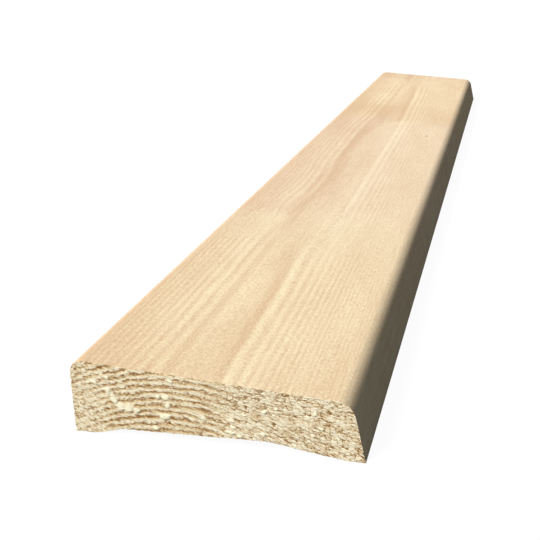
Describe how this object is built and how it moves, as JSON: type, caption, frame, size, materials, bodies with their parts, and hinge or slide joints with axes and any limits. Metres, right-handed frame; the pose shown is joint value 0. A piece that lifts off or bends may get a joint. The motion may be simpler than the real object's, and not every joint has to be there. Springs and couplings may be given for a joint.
{
  "type": "architrave moulding",
  "caption": "Tapered softwood architrave with a plain sloping face, rounded edges, a splayed thin edge and a hollow back, for covering the joint round a door or window frame.",
  "frame": {"origin": "middle of the back, halfway along the length, level with the two lands that meet the wall", "axes": "+Y along the length, +X across the board towards the thin edge, +Z out of the face"},
  "size_m": [0.058, 0.475, 0.015],
  "materials": {
    "planed_softwood": "planed, untreated"
  },
  "bodies": {
    "root": {"architrave": "planed_softwood"}
  },
  "joints": []
}
